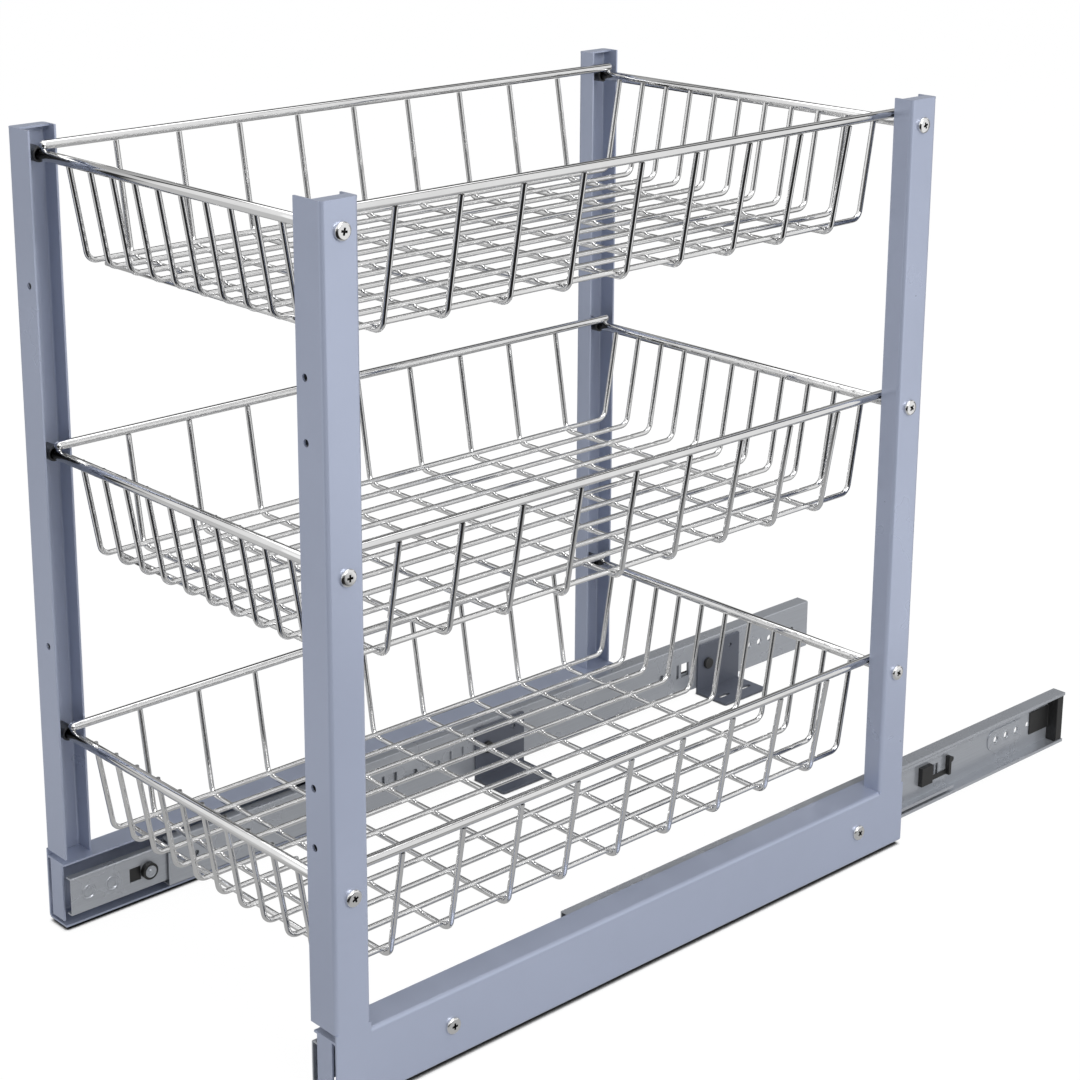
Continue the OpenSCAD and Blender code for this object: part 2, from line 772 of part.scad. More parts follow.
module left_inner_cage() {
    color(ZINC_COLOUR) placed() on_side(LEFT) inner_cage();
}

module left_outer_balls() {
    color(CHROME_COLOUR) placed() on_side(LEFT) ball_rows(outer_ball_x, outer_race, outer_cage_y);
}

module left_inner_balls() {
    color(CHROME_COLOUR) placed() on_side(LEFT) ball_rows(inner_ball_x, inner_race, inner_cage_y);
}

module left_catch() {
    color(BLACK_COLOUR) placed() on_side(LEFT) slide_catch();
}

module left_buffer() {
    color(BLACK_COLOUR) placed() on_side(LEFT) middle_buffer();
}

module left_stop() {
    color(BLACK_COLOUR) placed() on_side(LEFT) cabinet_stop();
}

module right_cabinet_member() {
    color(ZINC_COLOUR) placed() on_side(RIGHT) cabinet_member();
}

module right_middle_member() {
    color(ZINC_COLOUR) placed() on_side(RIGHT) middle_member();
}

module right_drawer_member() {
    color(ZINC_COLOUR) placed() on_side(RIGHT) drawer_member();
}

module right_outer_cage() {
    color(ZINC_COLOUR) placed() on_side(RIGHT) outer_cage();
}

module right_inner_cage() {
    color(ZINC_COLOUR) placed() on_side(RIGHT) inner_cage();
}

module right_outer_balls() {
    color(CHROME_COLOUR) placed() on_side(RIGHT) ball_rows(outer_ball_x, outer_race, outer_cage_y);
}

module right_inner_balls() {
    color(CHROME_COLOUR) placed() on_side(RIGHT) ball_rows(inner_ball_x, inner_race, inner_cage_y);
}

module right_catch() {
    color(BLACK_COLOUR) placed() on_side(RIGHT) slide_catch();
}

module right_buffer() {
    color(BLACK_COLOUR) placed() on_side(RIGHT) middle_buffer();
}

module right_stop() {
    color(BLACK_COLOUR) placed() on_side(RIGHT) cabinet_stop();
}

// ---------- Floor brackets ----------

// An angle plate: it is bolted to the inner face of the cabinet member and stands on the floor
module floor_bracket(y) {
    back_x = slide_x - bracket_t;
    bolt_y = bracket_w - 2 * bolt_in;
    translate([0, y, 0]) difference() {
        union() {
            translate([back_x, -bracket_w / 2, 0]) cube([bracket_t, bracket_w, bracket_h]);
            translate([slide_x - foot_l, -bracket_w / 2, 0]) cube([foot_l, bracket_w, bracket_t]);
        }
        translate([0, bolt_in - bracket_w / 2, slide_z])
            cross_pin(back_x - cut, bracket_t + 2 * cut, bolt_d + seat_gap);
        translate([0, bolt_in - bracket_w / 2 + bolt_y, slide_z + 9])
            cross_pin(back_x - cut, bracket_t + 2 * cut, 4);
        for (s = [-1, 1])
            translate([slide_x - foot_l * 0.6, s * foot_slot_pitch / 2, -cut])
                slot(foot_slot_l, foot_slot_w, bracket_t + 2 * cut);
    }
}

module left_front_bracket() {
    color(BRACKET_COLOUR) placed() on_side(LEFT) floor_bracket(bracket_ys[0]);
}

module left_back_bracket() {
    color(BRACKET_COLOUR) placed() on_side(LEFT) floor_bracket(bracket_ys[1]);
}

module right_front_bracket() {
    color(BRACKET_COLOUR) placed() on_side(RIGHT) floor_bracket(bracket_ys[0]);
}

module right_back_bracket() {
    color(BRACKET_COLOUR) placed() on_side(RIGHT) floor_bracket(bracket_ys[1]);
}

// Bolts that clamp the brackets to the cabinet members; their ends stay clear of the middle members
module bracket_bolts() {
    head_h = 3;
    color(BRACKET_COLOUR) placed() both_sides()
        for (y = cabinet_bolt_ys) translate([0, y, slide_z]) {
            cross_pin(slide_x - bracket_t, bracket_t + slide_sheet, bolt_d);
            cross_pin(slide_x - bracket_t - head_h, head_h, bolt_head_d);
        }
}

left_frame();
right_frame();
top_rim_rods();
top_long_wires();
top_cross_wires();
top_bushings();
middle_rim_rods();
middle_long_wires();
middle_cross_wires();
middle_bushings();
bottom_rim_rods();
bottom_long_wires();
bottom_cross_wires();
bottom_bushings();
basket_screws();
slide_screws();
slide_sleeves();
left_cabinet_member();
left_middle_member();
left_drawer_member();
left_outer_cage();
left_inner_cage();
left_outer_balls();
left_inner_balls();
left_catch();
left_buffer();
left_stop();
right_cabinet_member();
right_middle_member();
right_drawer_member();
right_outer_cage();
right_inner_cage();
right_outer_balls();
right_inner_balls();
right_catch();
right_buffer();
right_stop();
left_front_bracket();
left_back_bracket();
right_front_bracket();
right_back_bracket();
bracket_bolts();
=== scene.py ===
# %% [markdown]
# # A pull-out cabinet basket unit
# Two folded sheet frames carry three welded wire baskets, and the whole unit rolls on a pair of
# ball slides that stand on the cabinet floor. The CAD model gives every size and place. These cells
# give each piece the surface that the real one has: powder coat, chrome, zinc plate and plastic.
# Everything is in metres, X runs across the unit, the door side is -Y and Z = 0 is the cabinet floor.

# %% Load the CAD model as a fixed frame
import json
import math
import bmesh
import bpy
from mathutils import Matrix, Vector


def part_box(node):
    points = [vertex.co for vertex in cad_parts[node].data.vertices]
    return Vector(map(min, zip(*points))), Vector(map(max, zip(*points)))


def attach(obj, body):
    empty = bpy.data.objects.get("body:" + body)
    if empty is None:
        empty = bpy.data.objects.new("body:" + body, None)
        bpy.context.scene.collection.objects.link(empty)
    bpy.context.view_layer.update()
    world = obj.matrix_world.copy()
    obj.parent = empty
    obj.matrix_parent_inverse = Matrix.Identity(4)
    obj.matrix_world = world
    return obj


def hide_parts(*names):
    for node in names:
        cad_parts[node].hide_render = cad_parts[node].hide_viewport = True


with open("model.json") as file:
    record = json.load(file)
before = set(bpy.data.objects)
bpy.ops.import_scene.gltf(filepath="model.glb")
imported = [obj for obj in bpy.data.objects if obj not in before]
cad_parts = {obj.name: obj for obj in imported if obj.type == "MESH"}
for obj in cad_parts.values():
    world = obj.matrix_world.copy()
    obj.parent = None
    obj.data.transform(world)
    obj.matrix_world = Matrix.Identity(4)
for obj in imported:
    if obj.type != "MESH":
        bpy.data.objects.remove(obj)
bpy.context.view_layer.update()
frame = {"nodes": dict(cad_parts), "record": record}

MM = 0.001
scene = bpy.context.scene
scene.view_settings.view_transform = "Standard"
record = frame["record"]
body_of = {node: body for body, nodes in record["behaviour"]["bodies"].items() for node in nodes}
slot_of = {part["node"]: part["material_slot"] for part in record["subparts"]}

# %% [markdown]
# ## Sizes that several pieces share
# The wires, rods and screws are made again here as smooth shapes, so their sizes and places are the
# same as the CAD model's. Depths are first measured from the front of the side frames, as a fitter
# would, and then moved by one shift into the unit's own frame.

# %% Shared sizes in millimetres
FRAME_FRONT = -402.5      # the front of the side frames in the unit's own frame
FRAME_DEPTH = 560.0
HALF_WIDTH = 170.0        # outer face of a side frame
SHEET = 1.5
RIM_HEIGHTS = {"bottom": 148.5, "middle": 359.0, "top": 569.5}
ROD_INSET = 15.0          # a rim rod's distance from the outer end of its post
LEAN = math.radians(10)   # slope of the basket walls
WIRE = 4.0
BEND = 8.0                # radius of a wire's bend, at its middle line
DEPTH = 72.0
LONG_COUNT, LONG_PITCH = 11, 26.0
CROSS_COUNT, CROSS_PITCH = 9, 52.0
FRONT_ROD, SIDE_ROD = 7.5, 6.5
WELD_GAP = 0.05           # wires and rods are laid this far apart
SIDE_ROD_X = 149.5
SIDE_RISE = (FRONT_ROD + SIDE_ROD) / 2 + WELD_GAP
SLIDE_HEIGHT = 27.5
SLIDE_IN = 33.5           # from a frame's outer face to the web of its cabinet member
SLIDE_SHEET = 1.2
MID = FRAME_DEPTH / 2
POSTS = (ROD_INSET, FRAME_DEPTH - ROD_INSET)


def place(x, y, z):
    """A point in millimetres, measured from the front of the frames, in the unit's own frame."""
    return Vector((x, y + FRAME_FRONT, z)) * MM


# %% [markdown]
# ## Helpers for node trees
# Both the shapes and the finishes are built from node trees. A few small helpers keep them readable:
# one adds a node and fills in its sockets, one declares a tree's named inputs and outputs, and one
# ends every tree of shapes in the same way.

# %% Node helpers
def add_node(tree, kind, settings=None, **sockets):
    """A new node; sockets named with _ for a space take a value or another node's output."""
    node = tree.nodes.new(kind)
    for name, value in (settings or {}).items():
        setattr(node, name, value)
    for name, value in sockets.items():
        socket = find_socket(node, name)
        if isinstance(value, bpy.types.NodeSocket):
            tree.links.new(value, socket)
        else:
            socket.default_value = value
    return node


def find_socket(node, name):
    """An enabled input by its name, or by its number after an n."""
    if name[0] == "n" and name[1:].isdigit():
        return node.inputs[int(name[1:])]
    wanted = name.replace("_", " ")
    return next(s for s in node.inputs if s.name == wanted and s.enabled)


def declare(tree, inputs, outputs):
    """Gives a tree its sockets, each a (name, kind, value) with the value left out of outputs."""
    for name, kind, value in inputs:
        socket = tree.interface.new_socket(name, in_out="INPUT", socket_type="NodeSocket" + kind)
        if value is not None:
            socket.default_value = value
    for name, kind in outputs:
        tree.interface.new_socket(name, in_out="OUTPUT", socket_type="NodeSocket" + kind)
    return tree.nodes.new("NodeGroupInput"), tree.nodes.new("NodeGroupOutput")


def hand_out(tree, result, geometry, finish, smooth=True):
    """Ends a tree of shapes: its copies become one mesh, shaded smooth if asked, with a finish."""
    shape = add_node(tree, "GeometryNodeRealizeInstances", Geometry=geometry)
    if smooth:
        shape = add_node(tree, "GeometryNodeSetShadeSmooth", Geometry=shape.outputs[0],
                         Shade_Smooth=True)
    coated = add_node(tree, "GeometryNodeSetMaterial", Geometry=shape.outputs[0], Material=finish)
    tree.links.new(coated.outputs[0], result.inputs[0])


# %% [markdown]
# ## Marks and grain that several finishes share
# A plated or painted surface is never quite even. Two shader groups hold the effects: fine grain is the
# orange peel of powder coat or the tooth of moulded plastic, and rolled streaks are the marks that
# rollers leave along a strip of steel. A group only puts out masks and values, so that every finish can
# use it in its own strength.

# %% Shader groups
def fine_grain_group():
    tree = bpy.data.node_groups.new("fine grain", "ShaderNodeTree")
    given, result = declare(
        tree,
        [("Scale", "Float", 900.0), ("Patch scale", "Float", 14.0)],
        [("Height", "Float"), ("Patches", "Float")])
    spot = add_node(tree, "ShaderNodeTexCoord")
    peel = add_node(tree, "ShaderNodeTexNoise", Vector=spot.outputs["Object"],
                    Scale=given.outputs["Scale"], Detail=3.0, Roughness=0.55)
    patches = add_node(tree, "ShaderNodeTexNoise", Vector=spot.outputs["Object"],
                       Scale=given.outputs["Patch scale"], Detail=4.0, Roughness=0.6)
    tree.links.new(peel.outputs["Fac"], result.inputs["Height"])
    tree.links.new(patches.outputs["Fac"], result.inputs["Patches"])
    return tree


def rolled_streaks_group():
    tree = bpy.data.node_groups.new("rolled streaks", "ShaderNodeTree")
    given, result = declare(
        tree,
        [("Fineness", "Float", 1400.0), ("Stretch", "Float", 0.012)],
        [("Streaks", "Float"), ("Clouds", "Float")])
    spot = add_node(tree, "ShaderNodeTexCoord")
    stretch = add_node(tree, "ShaderNodeCombineXYZ", X=1.0, Y=given.outputs["Stretch"], Z=1.0)
    drawn = add_node(tree, "ShaderNodeVectorMath", {"operation": "MULTIPLY"},
                     n0=spot.outputs["Object"], n1=stretch.outputs[0])
    streaks = add_node(tree, "ShaderNodeTexNoise", Vector=drawn.outputs[0],
                       Scale=given.outputs["Fineness"], Detail=4.0, Roughness=0.65)
    clouds = add_node(tree, "ShaderNodeTexNoise", Vector=spot.outputs["Object"], Scale=26.0,
                      Detail=3.0, Roughness=0.5)
    tree.links.new(streaks.outputs["Fac"], result.inputs["Streaks"])
    tree.links.new(clouds.outputs["Fac"], result.inputs["Clouds"])
    return tree


GRAIN, STREAKS = fine_grain_group(), rolled_streaks_group()
print("shader groups:", GRAIN.name, STREAKS.name)

# %% [markdown]
# ## The finishes
# The frames are powder coated in a satin silver-blue, the wires are bright chrome, the slides are zinc
# plated strip, the floor brackets are a darker powder coat and the small parts are nickel, black oxide
# or black plastic. Each finish keeps its plain numbers on the surface shader and lets the shared groups
# vary only the colour, the roughness and the bump.

# %% Finish helpers
def new_finish(name, **numbers):
    finish = bpy.data.materials.new(name)
    finish.use_nodes = True
    tree = finish.node_tree
    surface = tree.nodes["Principled BSDF"]
    for socket, value in numbers.items():
        surface.inputs[socket.replace("_", " ")].default_value = value
    return finish, tree, surface


def use_group(tree, group, **sockets):
    return add_node(tree, "ShaderNodeGroup", {"node_tree": group}, **sockets)


def vary(tree, mask, low, high):
    """A number that follows a mask from low to high."""
    return add_node(tree, "ShaderNodeMapRange", Value=mask, From_Min=0.3, From_Max=0.7,
                    To_Min=low, To_Max=high).outputs[0]


def blend_colours(tree, mask, first, second):
    mixed = add_node(tree, "ShaderNodeMix", {"data_type": "RGBA"})
    for socket, value in ((mixed.inputs[0], mask), (mixed.inputs[6], first), (mixed.inputs[7], second)):
        if isinstance(value, bpy.types.NodeSocket):
            tree.links.new(value, socket)
        else:
            socket.default_value = value
    return mixed.outputs[2]


def raise_surface(tree, surface, height, distance, strength):
    bump = add_node(tree, "ShaderNodeBump", Height=height, Distance=distance, Strength=strength)
    tree.links.new(bump.outputs[0], surface.inputs["Normal"])


def shade(value, tint=(1.0, 1.0, 1.0)):
    return (value * tint[0], value * tint[1], value * tint[2], 1.0)


# %% Four kinds of finish
def powder_coat(name, light, dark, rough, metal=0.0):
    finish, tree, surface = new_finish(name, Metallic=metal, Coat_Weight=0.12, Coat_Roughness=0.22)
    grain = use_group(tree, GRAIN, Scale=1300.0, Patch_scale=9.0)
    coat = blend_colours(tree, vary(tree, grain.outputs["Patches"], 0.0, 1.0), light, dark)
    tree.links.new(coat, surface.inputs["Base Color"])
    tree.links.new(vary(tree, grain.outputs["Patches"], rough - 0.03, rough + 0.03),
                   surface.inputs["Roughness"])
    raise_surface(tree, surface, grain.outputs["Height"], 0.00008, 0.15)
    return finish


def plated(name, light, dark, low, high, bump=0.1, recess=False):
    """Bright plating. With recess set, faces marked as the inside of a driver recess turn near black:
    painted shade in the recess.
    """
    finish, tree, surface = new_finish(name, Metallic=1.0)
    grain = use_group(tree, GRAIN, Scale=420.0, Patch_scale=22.0)
    colour = blend_colours(tree, vary(tree, grain.outputs["Patches"], 0.0, 1.0), light, dark)
    if recess:
        # Painted shade: the recess mask blends the plating's colour to near black inside the cross
        # recess.
        recess_shade_mask = add_node(tree, "ShaderNodeAttribute", {"attribute_name": "recess"})
        colour = blend_colours(tree, recess_shade_mask.outputs["Fac"], colour, shade(0.02))
    tree.links.new(colour, surface.inputs["Base Color"])
    tree.links.new(vary(tree, grain.outputs["Patches"], low, high), surface.inputs["Roughness"])
    raise_surface(tree, surface, grain.outputs["Height"], 0.00004, bump)
    return finish


def zinc_strip(name, light, dark, low, high):
    finish, tree, surface = new_finish(name, Metallic=0.6)
    marks = use_group(tree, STREAKS)
    streaked = blend_colours(tree, vary(tree, marks.outputs["Streaks"], 0.0, 0.8), light, dark)
    tree.links.new(streaked, surface.inputs["Base Color"])
    tree.links.new(vary(tree, marks.outputs["Clouds"], low, high), surface.inputs["Roughness"])
    raise_surface(tree, surface, marks.outputs["Streaks"], 0.00003, 0.10)
    return finish


def moulded(name, light, dark, rough):
    finish, tree, surface = new_finish(name, Metallic=0.0)
    grain = use_group(tree, GRAIN, Scale=1800.0, Patch_scale=40.0)
    colour = blend_colours(tree, grain.outputs["Patches"], light, dark)
    tree.links.new(colour, surface.inputs["Base Color"])
    tree.links.new(vary(tree, grain.outputs["Patches"], rough - 0.06, rough + 0.08),
                   surface.inputs["Roughness"])
    raise_surface(tree, surface, grain.outputs["Height"], 0.00008, 0.3)
    return finish


# %% The nine finishes
BLUE = (0.87, 0.96, 1.22)
COOL = (0.96, 1.0, 1.07)
FINISH = {
    "frame_paint": powder_coat("silver-blue powder coat", shade(0.44, BLUE), shade(0.42, BLUE), 0.30,
                               metal=0.35),
    "chrome_wire": plated("bright chrome", shade(0.80), shade(0.72), 0.04, 0.08, bump=0.05),
    "screw_steel": plated("nickel plate", shade(0.84), shade(0.76), 0.10, 0.16, recess=True),
    "bushing_steel": moulded("black oxide", shade(0.018, COOL), shade(0.034, COOL), 0.36),
    "zinc_steel": zinc_strip("zinc plate", shade(0.50, COOL), shade(0.43, COOL), 0.24, 0.34),
    "ball_steel": plated("polished ball", shade(0.85), shade(0.80), 0.04, 0.08, bump=0.02),
    "black_plastic": moulded("black plastic", shade(0.010), shade(0.020), 0.40),
    "bracket_paint": powder_coat("dark grey powder coat", shade(0.115, BLUE), shade(0.10, BLUE), 0.38),
    "bolt_black": moulded("black bolt", shade(0.016), shade(0.030), 0.32),
}
print("finishes:", ", ".join(FINISH))


# %% [markdown]
# ## Putting a finished piece on its body
# Every piece ends as one plain mesh whose object sits at the origin. It rides on the body that carries
# it, and the CAD piece that it copies is hidden; its finish is set where the piece is made.

# %% Finishing a piece
def settle(piece, node, replace=True):
    """Puts a piece on the body of a CAD node and, if asked to replace it, hides that node."""
    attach(piece, body_of[node])
    if replace:
        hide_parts(node)


def as_object(name, mesh, finish=None):
    piece = bpy.data.objects.new(name, mesh)
    scene.collection.objects.link(piece)
    if finish:
        mesh.materials.clear()
        mesh.materials.append(finish)
    return piece


def flatten(piece):
    """Turns a piece with live modifiers into one plain mesh."""
    bpy.context.view_layer.update()
    ready = piece.evaluated_get(bpy.context.evaluated_depsgraph_get())
    mesh = bpy.data.meshes.new_from_object(ready)
    mesh.name = piece.name
    piece.modifiers.clear()
    piece.data = mesh
    return piece


# %% [markdown]
# ## Folded, pressed and moulded pieces
# A sheet-metal part is a flat blank with sharp sheared edges and round folds. Its CAD solid already has
# the right folds, holes and steps, so the visible piece is a copy of that solid. The copy's triangles
# are merged into whole faces, and a narrow bevel breaks each sheared edge, because a real edge always
# catches a thin line of light.

# %% Dressing a copy of a CAD piece
SAME_POINT = 2e-6
FLAT_WITHIN = math.radians(0.6)
SHARP_FROM = math.radians(40)


def dressed(node, edge):
    """A copy of a CAD piece with whole faces and sheared edges broken by a bevel of so many mm."""
    mesh = frame["nodes"][node].data.copy()
    shape = bmesh.new()
    shape.from_mesh(mesh)
    bmesh.ops.remove_doubles(shape, verts=shape.verts, dist=SAME_POINT)
    bmesh.ops.dissolve_limit(shape, angle_limit=FLAT_WITHIN, verts=shape.verts, edges=shape.edges)
    for face in shape.faces:
        face.smooth = True
    shape.to_mesh(mesh)
    shape.free()
    mesh.set_sharp_from_angle(angle=SHARP_FROM)
    piece = as_object(node + "_dressed", mesh, FINISH[slot_of[node]])
    if edge:
        bevel = piece.modifiers.new("edge", "BEVEL")
        bevel.width = edge * MM
        bevel.segments = 2
        bevel.limit_method = "ANGLE"
        bevel.angle_limit = SHARP_FROM
        bevel.use_clamp_overlap = True
    weights = piece.modifiers.new("weights", "WEIGHTED_NORMAL")
    weights.keep_sharp = True
    settle(flatten(piece), node)


EDGES_MM = {"frame": 0.35, "member": 0.12, "bracket": 0.3, "bushings": 0.6, "sleeves": 0.3,
            "bolts": 0.4, "catch": 0.4, "buffer": 0.2, "stop": 0.4, "cage": 0.0}
DRESSED = [node for node in sorted(frame["nodes"]) if node.split("_")[-1] in EDGES_MM]
for node in DRESSED:
    dressed(node, EDGES_MM[node.split("_")[-1]])
print("dressed pieces:", len(DRESSED))

# %% [markdown]
# ## Bent basket wires
# Each wire starts as a straight length and is bent twice into a shallow U. A path of four corners says
# where the wire runs, Fillet Curve bends the corners, and Curve to Mesh sweeps the round section along
# it. The same tree then sets out the whole row, because a basket's wires differ only in their place.

# %% The tree for a row of bent wires
BEND_STEPS, WIRE_SIDES = 9, 14


def wire_row_tree():
    """Bends and sweeps one path, and copies it in equal steps."""
    tree = bpy.data.node_groups.new("row of bent wires", "GeometryNodeTree")
    given, result = declare(
        tree,
        [("Path", "Geometry", None), ("Wire radius", "Float", 0.002), ("Bend radius", "Float", 0.008),
         ("Count", "Int", 1), ("First", "Vector", None), ("Step", "Vector", None),
         ("Sides", "Int", 16), ("Finish", "Material", None)],
        [("Wires", "Geometry")])
    curve = add_node(tree, "GeometryNodeMeshToCurve", Mesh=given.outputs["Path"])
    bent = add_node(tree, "GeometryNodeFilletCurve", {"mode": "POLY"}, Curve=curve.outputs[0],
                    Count=BEND_STEPS, Radius=given.outputs["Bend radius"], Limit_Radius=True)
    ring = add_node(tree, "GeometryNodeCurvePrimitiveCircle", Resolution=given.outputs["Sides"],
                    Radius=given.outputs["Wire radius"])
    tube = add_node(tree, "GeometryNodeCurveToMesh", Curve=bent.outputs[0],
                    Profile_Curve=ring.outputs[0], Fill_Caps=True)
    spots = add_node(tree, "GeometryNodeMeshLine", {"mode": "OFFSET"}, Count=given.outputs["Count"],
                     Start_Location=given.outputs["First"], Offset=given.outputs["Step"])
    row = add_node(tree, "GeometryNodeInstanceOnPoints", Points=spots.outputs[0],
                   Instance=tube.outputs[0])
    hand_out(tree, result, row.outputs[0], given.outputs["Finish"])
    return tree


def run_tree(name, tree, mesh, **inputs):
    """One object with a tree's result as its plain mesh."""
    piece = as_object(name, mesh)
    modifier = piece.modifiers.new("made by", "NODES")
    modifier.node_group = tree
    for item in tree.interface.items_tree:
        key = item.name.replace(" ", "_")
        if item.in_out == "INPUT" and key in inputs:
            modifier[item.identifier] = inputs[key]
    flatten(piece)
    print(name, len(piece.data.polygons), "faces")
    return piece


def path_mesh(name, points):
    mesh = bpy.data.meshes.new(name)
    mesh.from_pydata([tuple(p) for p in points], [(i, i + 1) for i in range(len(points) - 1)], [])
    return mesh


WIRE_ROW = wire_row_tree()

# %% [markdown]
# ## The three baskets
# The long wires are welded to the inside of the front and back rods and carry the load. The cross wires
# pass under them and end under the side rods, and one more straight wire ties the long wires together
# just behind the front bends. The rods themselves are thicker bars, and the side rods lie on top of the
# front and back rods.

# %% Corners of the two kinds of wire
LONG_RISE = -0.3          # a long wire ends just under the middle line of its rod
LONG_TOP = MID - ROD_INSET - ((FRONT_ROD + WIRE) / 2 + WELD_GAP) / math.cos(LEAN)
LONG_FLOOR = LONG_TOP - DEPTH * math.tan(LEAN)
CROSS_DROP = DEPTH + WIRE + WELD_GAP
CROSS_RISE = SIDE_RISE - SIDE_ROD / 2 - WIRE / 2 * math.sin(LEAN) - WELD_GAP
CROSS_FLOOR = SIDE_ROD_X - (CROSS_DROP + CROSS_RISE) * math.tan(LEAN)
LONG_END = LONG_FLOOR + (DEPTH + LONG_RISE) * math.tan(LEAN)
BEND_CUT = BEND * math.tan((math.pi / 2 - LEAN) / 2)
TIE_INSET = 9.0           # from the end of the front bends to the straight tie wire
TIE_WIRE_Y = LONG_FLOOR - BEND_CUT - TIE_INSET


def long_path(z):
    across = [(-LONG_END, z + LONG_RISE), (-LONG_FLOOR, z - DEPTH),
              (LONG_FLOOR, z - DEPTH), (LONG_END, z + LONG_RISE)]
    return [place(0, MID + y, height) for y, height in across]


def cross_path(z):
    across = [(-SIDE_ROD_X, z + CROSS_RISE), (-CROSS_FLOOR, z - CROSS_DROP),
              (CROSS_FLOOR, z - CROSS_DROP), (SIDE_ROD_X, z + CROSS_RISE)]
    return [place(x, 0, height) - place(0, 0, 0) for x, height in across]


# %% [markdown]
# Rods, screws, rivets and collars are turned parts, so they are revolved from half a profile: a list
# of radii and distances along the axis. A solid part ends in a single point at each pole, and a bored
# part has a profile that closes on itself.

# %% Turned parts
ROD_SIDES, SCREW_SIDES, RING_SIDES = 24, 32, 28
CHAMFER = 0.4
ALONG_X = Matrix.Rotation(math.pi / 2, 4, "Y")
ALONG_Y = Matrix.Rotation(-math.pi / 2, 4, "X")


def corner_ring(shape, radius, height, sides):
    """One ring of corners about Z, or a single point where the profile meets the axis."""
    if radius == 0:
        return [shape.verts.new((0, 0, height * MM))]
    angles = [2 * math.pi * i / sides for i in range(sides)]
    return [shape.verts.new((radius * MM * math.cos(a), radius * MM * math.sin(a), height * MM))
            for a in angles]


def turned(profile, sides, bored=False):
    """A solid of revolution about Z from (radius, height) points."""
    shape = bmesh.new()
    rings = [corner_ring(shape, radius, height, sides) for radius, height in profile]
    for low, high in zip(rings, rings[1:] + (rings[:1] if bored else [])):
        for i in range(sides):
            j = (i + 1) % sides
            corners = [low[i % len(low)], low[j % len(low)], high[j % len(high)], high[i % len(high)]]
            unique = list(dict.fromkeys(corners))
            if len(unique) > 2:
                shape.faces.new(unique)
    bmesh.ops.recalc_face_normals(shape, faces=shape.faces)
    for face in shape.faces:
        face.smooth = True
    mesh = bpy.data.meshes.new("turned")
    shape.to_mesh(mesh)
    shape.free()
    mesh.set_sharp_from_angle(angle=math.radians(60 if bored else 50))
    return mesh


def joined(name, parts, finish):
    """One mesh from (mesh, matrix) pairs."""
    shape = bmesh.new()
    for mesh, matrix in parts:
        moved = mesh.copy()
        moved.transform(matrix)
        if matrix.determinant() < 0:
            moved.flip_normals()
        shape.from_mesh(moved)
    mesh = bpy.data.meshes.new(name)
    shape.to_mesh(mesh)
    shape.free()
    return as_object(name, mesh, finish)


def rod_mesh(diameter, length, domed):
    """A bar along Z about its middle, with domed ends or with a small chamfer."""
    r, half = diameter / 2, length / 2
    if domed:
        steps = [math.radians(a) for a in range(0, 91, 15)]
        top = [(r * math.cos(a), half - r + r * math.sin(a)) for a in steps]
    else:
        top = [(r, half - CHAMFER), (r - CHAMFER, half), (0, half)]
    top[-1] = (0, half)
    return turned([(x, -y) for x, y in reversed(top)] + top, ROD_SIDES)


# %% Rim rods, wires and weld beads of each basket
ROD_SHORT = 9.0           # a front or back rod ends this far inside the sheet of its post
BEAD, BEAD_SCALE = 0.0019, (1.0, 1.0, 0.62)


def weld_tree():
    """Sets a flattened bead on every crossing of a regular grid of wires."""
    tree = bpy.data.node_groups.new("weld beads", "GeometryNodeTree")
    given, result = declare(
        tree,
        [("Crossings", "Geometry", None), ("Bead", "Float", BEAD), ("Finish", "Material", None)],
        [("Beads", "Geometry")])
    ball = add_node(tree, "GeometryNodeMeshIcoSphere", Radius=given.outputs["Bead"], Subdivisions=2)
    beads = add_node(tree, "GeometryNodeInstanceOnPoints", Points=given.outputs["Crossings"],
                     Instance=ball.outputs[0], Scale=BEAD_SCALE)
    hand_out(tree, result, beads.outputs[0], given.outputs["Finish"])
    return tree


